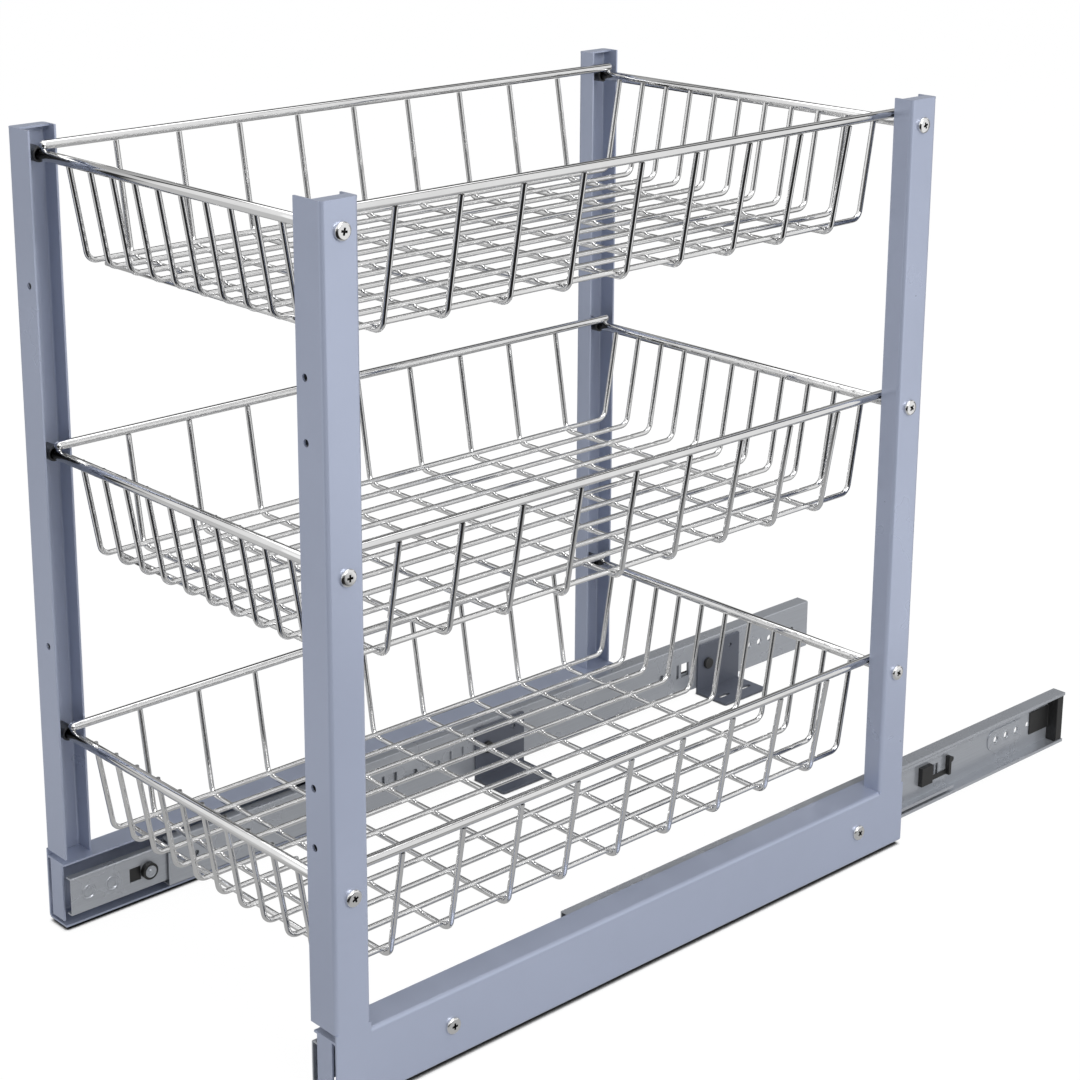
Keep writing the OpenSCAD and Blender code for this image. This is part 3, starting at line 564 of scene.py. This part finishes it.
def basket(name, z):
    """One basket whose front and back rods have their middle lines at height z."""
    chrome = FINISH["chrome_wire"]
    front = rod_mesh(FRONT_ROD, 2 * (HALF_WIDTH - SHEET - ROD_SHORT), False)
    side = rod_mesh(SIDE_ROD, FRAME_DEPTH - 2 * ROD_INSET + SIDE_ROD, True)
    rods = [(front, Matrix.Translation(place(0, y, z)) @ ALONG_X) for y in POSTS]
    rods += [(side, Matrix.Translation(place(s * SIDE_ROD_X, MID, z + SIDE_RISE)) @ ALONG_Y)
             for s in (-1, 1)]
    settle(joined(name + "_rods", rods, chrome), name + "_rim_rods")

    sizes = {"Wire_radius": WIRE / 2 * MM, "Bend_radius": BEND * MM, "Finish": chrome,
             "Sides": WIRE_SIDES}
    first = -(LONG_COUNT - 1) / 2 * LONG_PITCH * MM
    settle(run_tree(name + "_long_bars", WIRE_ROW, path_mesh(name, long_path(z)), Count=LONG_COUNT,
                    First=(first, 0, 0), Step=(LONG_PITCH * MM, 0, 0), **sizes), name + "_long_wires")

    start = place(0, MID - (CROSS_COUNT - 1) / 2 * CROSS_PITCH, 0)
    cross = run_tree(name + "_cross_bars", WIRE_ROW, path_mesh(name, cross_path(z)), Count=CROSS_COUNT,
                     First=tuple(start), Step=(0, CROSS_PITCH * MM, 0), **sizes)
    half = (LONG_COUNT - 1) / 2 * LONG_PITCH + WIRE / 2
    edge = rod_mesh(WIRE, 2 * half, False)
    tie_spot = place(0, MID - TIE_WIRE_Y, z - CROSS_DROP)
    straight = joined("edge", [(edge, Matrix.Translation(tie_spot) @ ALONG_X)], chrome)
    both = joined(name + "_cross_bars", [(cross.data, Matrix()), (straight.data, Matrix())], chrome)
    for spare in (cross, straight):
        bpy.data.objects.remove(spare)
    both.name = name + "_cross_bars"
    settle(both, name + "_cross_wires")

    xs = [(i - (LONG_COUNT - 1) / 2) * LONG_PITCH for i in range(LONG_COUNT)]
    ys = [MID + (i - (CROSS_COUNT - 1) / 2) * CROSS_PITCH for i in range(CROSS_COUNT)]
    ys += [MID - TIE_WIRE_Y]
    floor = z - DEPTH - WIRE / 2
    spots = [place(x, y, floor) for x in xs for y in ys]
    rims = [place(s * SIDE_ROD_X, y, z + SIDE_RISE - SIDE_ROD / 2) for s in (-1, 1) for y in POSTS]
    crossings = bpy.data.meshes.new("crossings")
    crossings.from_pydata([tuple(p) for p in spots + rims], [], [])
    beads = run_tree(name + "_weld_beads", WELDS, crossings, Bead=BEAD, Finish=chrome)
    settle(beads, name + "_long_wires", replace=False)


WELDS = weld_tree()
for tier, height in RIM_HEIGHTS.items():
    basket(tier, height)

# %% [markdown]
# ## Screws
# The baskets and slides are held by pan-head screws with a cross recess. One head is turned, its recess
# is cut with a tapered cross, and Geometry Nodes set the same screw on every hole. A point attribute
# turns each cross a little differently, as a fitter leaves them.

# %% One pan-head screw and its places
SLIDE_SCREW_YS = (96, 507)
HEAD_R, HEAD_H = 6.0, 2.6
CROWN = 1.82              # radius of the head's round edge
SHANK = [(0, -9.0), (2.1, -9.0), (2.5, -8.5), (2.5, 0.0)]
BLADE_LONG, BLADE_THICK, BLADE_HIGH = 6.8, 1.7, 2.6
TIP_LONG, TIP_THICK = 0.45, 0.835      # the blade's tip, as shares of its top
RECESS_R, RECESS_FROM, RECESS_TO = 3.5, 0.5, 2.55


def blade(turn, height):
    """One of the two crossed blades of a driver tip, which taper towards the bottom."""
    shape = bmesh.new()
    bmesh.ops.create_cube(shape, size=1.0)
    for v in shape.verts:
        along, across = (1.0, 1.0) if v.co.z > 0 else (TIP_LONG, TIP_THICK)
        v.co = Vector((v.co.x * BLADE_LONG * along, v.co.y * BLADE_THICK * across,
                       v.co.z * BLADE_HIGH)) * MM
    bmesh.ops.rotate(shape, verts=shape.verts, matrix=Matrix.Rotation(turn, 3, "Z"))
    mesh = bpy.data.meshes.new("driver blade")
    shape.to_mesh(mesh)
    shape.free()
    mesh.transform(Matrix.Translation((0, 0, height * MM)))
    return as_object("blade", mesh)


def screw_mesh():
    """A pan head along Z: its bearing face is at 0, and the shank goes down."""
    arc = [math.radians(a) for a in range(0, 91, 15)]
    dome = [(HEAD_R - CROWN + CROWN * math.cos(a), HEAD_H - CROWN + CROWN * math.sin(a)) for a in arc]
    profile = SHANK + [(HEAD_R, 0.0)] + dome + [(0, HEAD_H)]
    head = as_object("screw", turned(profile, SCREW_SIDES), FINISH["screw_steel"])
    for turn in (0, math.pi / 2):
        tip = blade(turn, HEAD_H + 0.15)
        cut = head.modifiers.new("recess", "BOOLEAN")
        cut.operation = "DIFFERENCE"
        cut.object = tip
        cut.solver = "EXACT"
        flatten(head)
        bpy.data.objects.remove(tip)
    head.data.set_sharp_from_angle(angle=math.radians(35))
    # Marks the faces inside the cross recess, which the nickel finish paints near black as painted
    # shade.
    recess_shade_mask = head.data.attributes.new("recess", "FLOAT", "FACE")
    recess_shade_mask.data.foreach_set("value", [
        float(math.hypot(face.center.x, face.center.y) < RECESS_R * MM
              and RECESS_FROM * MM < face.center.z < RECESS_TO * MM)
        for face in head.data.polygons])
    return head


def screw_tree():
    tree = bpy.data.node_groups.new("screws on holes", "GeometryNodeTree")
    given, result = declare(
        tree,
        [("Holes", "Geometry", None), ("Screw", "Object", None), ("Seed", "Int", 3)],
        [("Screws", "Geometry")])
    one = add_node(tree, "GeometryNodeObjectInfo", {"transform_space": "ORIGINAL"},
                   Object=given.outputs["Screw"], As_Instance=True)
    side = add_node(tree, "GeometryNodeInputNamedAttribute", {"data_type": "FLOAT"}, Name="side")
    tilt = add_node(tree, "ShaderNodeMath", {"operation": "MULTIPLY"},
                    n0=side.outputs[0], n1=math.pi / 2)
    turn = add_node(tree, "FunctionNodeRandomValue", {"data_type": "FLOAT"}, Max=math.pi / 2,
                    Seed=given.outputs["Seed"])
    amount = next(s for s in turn.outputs if s.enabled)
    angle = add_node(tree, "ShaderNodeCombineXYZ", X=0.0, Y=tilt.outputs[0], Z=0.0)
    spin = add_node(tree, "ShaderNodeCombineXYZ", X=0.0, Y=0.0, Z=amount)
    placed = add_node(tree, "GeometryNodeInstanceOnPoints", Points=given.outputs["Holes"],
                      Instance=one.outputs["Geometry"], Rotation=angle.outputs[0])
    turned_screws = add_node(tree, "GeometryNodeRotateInstances", Instances=placed.outputs[0],
                             Rotation=spin.outputs[0])
    hand_out(tree, result, turned_screws.outputs[0], FINISH["screw_steel"], smooth=False)
    return tree


def screws(name, node, spots, one, tree, seed):
    """Screws at (side, y, z) spots on the outer faces of the frames."""
    mesh = bpy.data.meshes.new(name)
    mesh.from_pydata([tuple(place(s * HALF_WIDTH, y, z)) for s, y, z in spots], [], [])
    side = mesh.attributes.new("side", "FLOAT", "POINT")
    side.data.foreach_set("value", [float(s) for s, y, z in spots])
    settle(run_tree(name, tree, mesh, Screw=one, Seed=seed), node)


one_screw = screw_mesh()
screws_on_holes = screw_tree()
screws("basket_pan_heads", "basket_screws",
       [(s, y, z) for s in (-1, 1) for y in POSTS for z in RIM_HEIGHTS.values()],
       one_screw, screws_on_holes, 3)
screws("slide_pan_heads", "slide_screws",
       [(s, y, SLIDE_HEIGHT) for s in (-1, 1) for y in SLIDE_SCREW_YS], one_screw, screws_on_holes, 8)
bpy.data.objects.remove(one_screw)

# %% [markdown]
# ## Pressed rings and tapped collars
# Four small shapes are too fine for the CAD model. Each dimple in a drawer member has a raised rim and a
# shallow dome, each catch has a rivet in its button, each hole in the pad of a cabinet member has a
# rolled rim, and each door hole has a tapped collar behind it, an inferred part in near-black oxide
# whose dark finish paints the shade inside the hole, so the hole looks black from the front. All are
# turned shapes, and one tree sets the same shape at each place on a list.

# %% Small shapes and their places
def repeat_tree():
    """Sets one shape on every point of a list."""
    tree = bpy.data.node_groups.new("one shape on each point", "GeometryNodeTree")
    given, result = declare(
        tree,
        [("Points", "Geometry", None), ("Shape", "Object", None), ("Turn", "Vector", None),
         ("Finish", "Material", None)],
        [("Row", "Geometry")])
    one = add_node(tree, "GeometryNodeObjectInfo", {"transform_space": "ORIGINAL"},
                   Object=given.outputs["Shape"], As_Instance=True)
    row = add_node(tree, "GeometryNodeInstanceOnPoints", Points=given.outputs["Points"],
                   Instance=one.outputs["Geometry"], Rotation=given.outputs["Turn"])
    hand_out(tree, result, row.outputs[0], given.outputs["Finish"], smooth=False)
    return tree


REPEAT = repeat_tree()


def repeated(name, mesh, spots, turn, node, slot):
    """Copies of a small shape on the body that carries a CAD node."""
    points = bpy.data.meshes.new(name)
    points.from_pydata([tuple(spot) for spot in spots], [], [])
    shape = as_object("one " + slot, mesh, FINISH[slot])
    piece = run_tree(name, REPEAT, points, Shape=shape, Turn=turn, Finish=FINISH[slot])
    bpy.data.objects.remove(shape)
    settle(piece, node, replace=False)


DIMPLE = [(0, -0.9), (6.0, -0.9), (6.0, 0.0), (5.6, 0.36), (5.1, 0.40), (4.6, 0.05), (4.2, -0.45),
          (3.5, -0.55), (2.6, -0.15), (1.4, 0.2), (0, 0.3)]
RIVET = [(0, -0.4), (4.6, -0.4), (4.6, 0.35), (4.2, 0.5), (3.6, 0.1), (2.4, 0.1), (2.1, 0.6),
         (1.4, 0.9), (0, 1.0)]
HOLE_RIM = [(3.05, -0.5), (3.05, 0.10), (3.3, 0.22), (3.8, 0.25), (4.4, 0.18), (4.8, 0.0), (4.8, -0.5)]
COLLAR = [(2.5, 0.0), (3.2, 0.0), (3.2, 2.3), (3.0, 2.5), (2.5, 2.5)]
DIMPLE_YS, CATCH_BUTTON_Y = (17, 37), 68
PAD_Y, PAD_RISE, PAD_HOLE_PITCH = 738.0, 0.8, 14.0
DOOR_HOLE_X, UPPER_HOLES, LOWER_HOLES = 152.0, (220.5, 481.5), (180.5, 441.5)

for side, s in (("left", -1), ("right", 1)):
    low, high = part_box(side + "_drawer_member")
    web = high.x if s < 0 else low.x
    repeated(side + "_dimples", turned(DIMPLE, RING_SIDES),
             [(web, place(0, y, 0).y, SLIDE_HEIGHT * MM) for y in DIMPLE_YS],
             (0, -s * math.pi / 2, 0), side + "_drawer_member", "zinc_steel")
    low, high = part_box(side + "_catch")
    face = high.x if s < 0 else low.x
    repeated(side + "_catch_rivet", turned(RIVET, RING_SIDES),
             [(face, place(0, CATCH_BUTTON_Y, 0).y, SLIDE_HEIGHT * MM)],
             (0, -s * math.pi / 2, 0), side + "_catch", "zinc_steel")
    pad = HALF_WIDTH - SLIDE_IN + SLIDE_SHEET + PAD_RISE
    repeated(side + "_pad_rims", turned(HOLE_RIM, RING_SIDES, bored=True),
             [place(s * pad, PAD_Y + i * PAD_HOLE_PITCH, SLIDE_HEIGHT) for i in (-1, 0, 1)],
             (0, s * math.pi / 2, 0), side + "_cabinet_member", "zinc_steel")
    heights = UPPER_HOLES + (LOWER_HOLES if s > 0 else ())
    # The collars take the near-black black oxide finish, which paints the shade inside the door holes.
    repeated(side + "_tapped_collars", turned(COLLAR, RING_SIDES, bored=True),
             [place(s * DOOR_HOLE_X, SHEET, z) for z in heights],
             (-math.pi / 2, 0, 0), side + "_frame", "bushing_steel")

# %% [markdown]
# ## Slide balls
# Hardened balls run in two rows in each cage. They are small, so a coarse sphere is enough, and one
# tree sets a row of them out along each race.

# %% Balls in their cages
def ball_tree():
    tree = bpy.data.node_groups.new("balls in a race", "GeometryNodeTree")
    given, result = declare(
        tree,
        [("Pockets", "Geometry", None), ("Radius", "Float", 0.0013), ("Finish", "Material", None)],
        [("Balls", "Geometry")])
    ball = add_node(tree, "GeometryNodeMeshUVSphere", Segments=12, Rings=8,
                    Radius=given.outputs["Radius"])
    row = add_node(tree, "GeometryNodeInstanceOnPoints", Points=given.outputs["Pockets"],
                   Instance=ball.outputs[0])
    hand_out(tree, result, row.outputs[0], given.outputs["Finish"])
    return tree


balls_in_race = ball_tree()
BALLS = 8
for node in sorted(n for n in frame["nodes"] if n.endswith("_balls")):
    low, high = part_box(node)
    radius = (high.x - low.x) / 2
    middle = (low + high) / 2
    first, last = low.y + radius, high.y - radius
    pockets = bpy.data.meshes.new(node)
    pockets.from_pydata(
        [(middle.x, first + (last - first) * i / (BALLS - 1), z)
         for i in range(BALLS) for z in (low.z + radius, high.z - radius)], [], [])
    settle(run_tree(node + "_turned", balls_in_race, pockets, Radius=radius,
                    Finish=FINISH["ball_steel"]), node)

# %% [markdown]
# ## Floor and light
# The unit stands on a plain white sheet in an even studio light. Chrome has no colour of its own: it is
# drawn by what it mirrors. So mirrors see a studio with white screens at both sides, a white ceiling,
# narrow dark gaps between them, a dark place where the camera stands and a dark wall behind the unit.
# A rod then gets a white middle between dark lines, and a bright upright wire gets a dark core.

# %% What a mirror sees in each direction
CAMERA_BEARING = math.radians(-41.1)
LOW_STUDIO = [(0.0, 0.02), (0.07, 0.03), (0.09, 0.45), (0.145, 0.45), (0.155, 0.03), (0.18, 0.03),
              (0.20, 0.60), (0.30, 0.66), (0.36, 0.60), (0.395, 0.02), (0.61, 0.02), (0.64, 0.55),
              (0.67, 0.95), (0.765, 0.95), (0.78, 0.03), (0.81, 0.03), (0.825, 0.45), (0.89, 0.45),
              (0.92, 0.03), (1.0, 0.02)]
HIGH_STUDIO = [(0.0, 0.40), (0.12, 0.45), (0.20, 0.92), (0.36, 0.95), (0.41, 0.20), (0.59, 0.20),
               (0.64, 0.95), (0.82, 0.95), (0.90, 0.45), (1.0, 0.40)]
TOP_STUDIO = [(0.0, 0.03), (0.045, 0.03), (0.06, 0.55), (0.11, 0.55), (0.12, 0.03), (0.15, 0.03),
              (0.17, 0.95), (0.5, 1.0), (0.79, 0.95), (0.80, 0.03), (0.84, 0.03), (0.85, 0.55),
              (0.92, 0.55), (0.935, 0.03), (1.0, 0.03)]


def ramp(tree, turn, marks):
    """Brightness by bearing, where 0 and 1 are behind the unit and 0.5 is the camera's place."""
    steps = add_node(tree, "ShaderNodeValToRGB", Fac=turn)
    stops = steps.color_ramp
    while len(stops.elements) < len(marks):
        stops.elements.new(0.5)
    for stop, (at, value) in zip(stops.elements, marks):
        stop.position = at
        stop.color = shade(value)
    return steps.outputs[0]


def mirrored_studio_group():
    tree = bpy.data.node_groups.new("mirrored studio", "ShaderNodeTree")
    given, result = declare(tree, [("Direction", "Vector", None)],
                            [("Low", "Color"), ("High", "Color"), ("Top", "Color")])
    turned_to = add_node(tree, "ShaderNodeVectorRotate", {"rotation_type": "Z_AXIS"},
                         Vector=given.outputs["Direction"], Angle=-CAMERA_BEARING)
    parts = add_node(tree, "ShaderNodeSeparateXYZ", Vector=turned_to.outputs[0])
    bearing = add_node(tree, "ShaderNodeMath", {"operation": "ARCTAN2"},
                       n0=parts.outputs[1], n1=parts.outputs[0])
    turn = add_node(tree, "ShaderNodeMapRange", Value=bearing.outputs[0],
                    From_Min=-math.pi, From_Max=math.pi)
    for band, marks in (("Low", LOW_STUDIO), ("High", HIGH_STUDIO), ("Top", TOP_STUDIO)):
        tree.links.new(ramp(tree, turn.outputs[0], marks), result.inputs[band])
    return tree


STUDIO = mirrored_studio_group()


def rising(tree, value, start, end):
    """0 up to the start, 1 from the end on, and even in between."""
    return add_node(tree, "ShaderNodeMapRange", Value=value, From_Min=start, From_Max=end).outputs[0]


def mix_shaders(tree, share, first, second):
    mix = add_node(tree, "ShaderNodeMixShader", Fac=share)
    tree.links.new(first, mix.inputs[1])
    tree.links.new(second, mix.inputs[2])
    return mix.outputs[0]


# %% Floor
HALF_FLOOR = 9.0
# The gap colour is a painted shadow: the near-black that the sheet takes in the narrow gaps under the
# unit.
SHEET_LIGHT, NEAR_LIGHT, GAP_PAINTED_SHADOW = 0.92, 0.48, 0.01
NEAR_ENDS = (0.50, 0.70)  # mirrors see grey up to the first distance, the studio from the second
GAP_REACH = 0.004
GAP_ENDS = (0.60, 0.90)   # how open a place is when it looks black, and when it looks plain white
EYE_LIGHT, EYE_SHARE = 1.02, 0.955


def studio_floor():
    """A white sheet: the eye sees it white, except in the narrow gaps under the unit, where an occlusion
    mask paints a near-black shadow into its colour and takes away its white glow.
    """
    mesh = bpy.data.meshes.new("studio_floor")
    corners = [(x * HALF_FLOOR, y * HALF_FLOOR, 0) for x, y in ((-1, -1), (1, -1), (1, 1), (-1, 1))]
    mesh.from_pydata(corners, [], [(0, 1, 2, 3)])
    floor = as_object("studio_floor", mesh)
    paint, tree, surface = new_finish("floor paint", Roughness=0.9, Specular_IOR_Level=0.1)
    spot = add_node(tree, "ShaderNodeTexCoord")
    studio = use_group(tree, STUDIO, Direction=spot.outputs["Object"])
    away = add_node(tree, "ShaderNodeVectorMath", {"operation": "LENGTH"}, n0=spot.outputs["Object"])
    far = rising(tree, away.outputs["Value"], *NEAR_ENDS)
    sheet = blend_colours(tree, far, shade(NEAR_LIGHT), studio.outputs["Low"])
    mirrored = add_node(tree, "ShaderNodeEmission", Color=sheet, Strength=1.0)
    seen = add_node(tree, "ShaderNodeEmission", Color=shade(1.0), Strength=EYE_LIGHT)
    # Painted shadow: where the occlusion mask finds a narrow gap, the sheet's colour goes near black and
    # its white glow to the eye fades out.
    contact = add_node(tree, "ShaderNodeAmbientOcclusion", {"samples": 8}, Distance=GAP_REACH)
    open_air = rising(tree, contact.outputs["AO"], *GAP_ENDS)
    sheet_with_painted_shadow = blend_colours(tree, open_air, shade(GAP_PAINTED_SHADOW), shade(SHEET_LIGHT))
    tree.links.new(sheet_with_painted_shadow, surface.inputs["Base Color"])
    share = add_node(tree, "ShaderNodeMath", {"operation": "MULTIPLY"}, n0=open_air, n1=EYE_SHARE)
    rays = add_node(tree, "ShaderNodeLightPath")
    by_eye = mix_shaders(tree, share.outputs[0], surface.outputs[0], seen.outputs[0])
    by_mirror = mix_shaders(tree, rays.outputs["Is Glossy Ray"], surface.outputs[0], mirrored.outputs[0])
    both = mix_shaders(tree, rays.outputs["Is Camera Ray"], by_mirror, by_eye)
    tree.links.new(both, tree.nodes["Material Output"].inputs["Surface"])
    mesh.materials.append(paint)


studio_floor()


# %% Surroundings
HIGH_ENDS, TOP_ENDS = (0.01, 0.12), (0.37, 0.43)    # sines of the angle above the horizon
CEILING_ENDS = (0.80, 0.93)
SOFT_LIGHT, SOFT_TINT = 0.58, (0.97, 0.99, 1.03)


def surroundings():
    """A plain white room: mirrors see the studio, the eye sees white, and soft light fills the rest."""
    world = bpy.data.worlds.new("studio")
    scene.world = world
    world.use_nodes = True
    tree = world.node_tree
    tree.nodes.clear()
    spot = add_node(tree, "ShaderNodeTexCoord")
    studio = use_group(tree, STUDIO, Direction=spot.outputs["Generated"])
    height = add_node(tree, "ShaderNodeSeparateXYZ", Vector=spot.outputs["Generated"]).outputs[2]
    room = studio.outputs["Low"]
    for ends, upper in ((HIGH_ENDS, studio.outputs["High"]), (TOP_ENDS, studio.outputs["Top"]),
                        (CEILING_ENDS, shade(1.0))):
        room = blend_colours(tree, rising(tree, height, *ends), room, upper)
    mirrored = add_node(tree, "ShaderNodeBackground", Color=room, Strength=1.0)
    soft = add_node(tree, "ShaderNodeBackground", Color=shade(1.0, SOFT_TINT), Strength=SOFT_LIGHT)
    white = add_node(tree, "ShaderNodeBackground", Color=shade(1.0), Strength=1.0)
    rays = add_node(tree, "ShaderNodeLightPath")
    lit = mix_shaders(tree, rays.outputs["Is Glossy Ray"], soft.outputs[0], mirrored.outputs[0])
    seen = mix_shaders(tree, rays.outputs["Is Camera Ray"], lit, white.outputs[0])
    out = add_node(tree, "ShaderNodeOutputWorld")
    tree.links.new(seen, out.inputs["Surface"])


surroundings()


# %% Lamps
def lamp(name, spot, aim, size, power):
    data = bpy.data.lights.new(name, "AREA")
    data.shape = "SQUARE"
    data.size = size
    data.energy = power
    light = bpy.data.objects.new(name, data)
    scene.collection.objects.link(light)
    light.location = spot
    light.rotation_euler = (Vector(aim) - Vector(spot)).to_track_quat("-Z", "Y").to_euler()


CENTRE = (0.0, -0.1, 0.3)
lamp("key", (2.8, -0.4, 2.0), CENTRE, 1.6, 54)
lamp("front fill", (0.2, -3.4, 1.8), CENTRE, 2.4, 4)
lamp("overhead", (-0.3, 0.2, 3.2), CENTRE, 2.6, 28)

# %% [markdown]
# ## Camera
# The unit is seen from its front right corner and from a little above the rim of the top basket, through
# a long lens. The camera is tilted down, and a small shift of the lens does the rest, which keeps the
# posts nearly upright.

# %% Camera
def studio_camera():
    """A long lens; its focal length and optical centre are counted in pixels of a square frame."""
    focal_px, centre_x, centre_y, image = 2352.0, 474.1, 352.0, 1080.0
    spot = Vector((1.2028, -1.2019, 0.8554))
    yaw, pitch, roll = math.radians(48.454), math.radians(15.236), math.radians(-0.110)
    forward = Vector((-math.sin(yaw) * math.cos(pitch), math.cos(yaw) * math.cos(pitch),
                      -math.sin(pitch)))
    right = Vector((math.cos(yaw), math.sin(yaw), 0.0))
    up = right.cross(forward)
    x_axis = math.cos(roll) * right + math.sin(roll) * up
    y_axis = math.cos(roll) * up - math.sin(roll) * right
    data = bpy.data.cameras.new("camera")
    data.sensor_width = 36.0
    data.lens = focal_px / image * data.sensor_width
    data.shift_x = (image / 2 - centre_x) / image
    data.shift_y = (centre_y - image / 2) / image
    data.clip_end = 60.0
    camera = bpy.data.objects.new("camera", data)
    scene.collection.objects.link(camera)
    turn = Matrix((x_axis, y_axis, -forward)).transposed().to_4x4()
    camera.matrix_world = Matrix.Translation(spot) @ turn
    scene.camera = camera
    print("lens", round(data.lens, 1), "shift", round(data.shift_x, 3), round(data.shift_y, 3))


studio_camera()
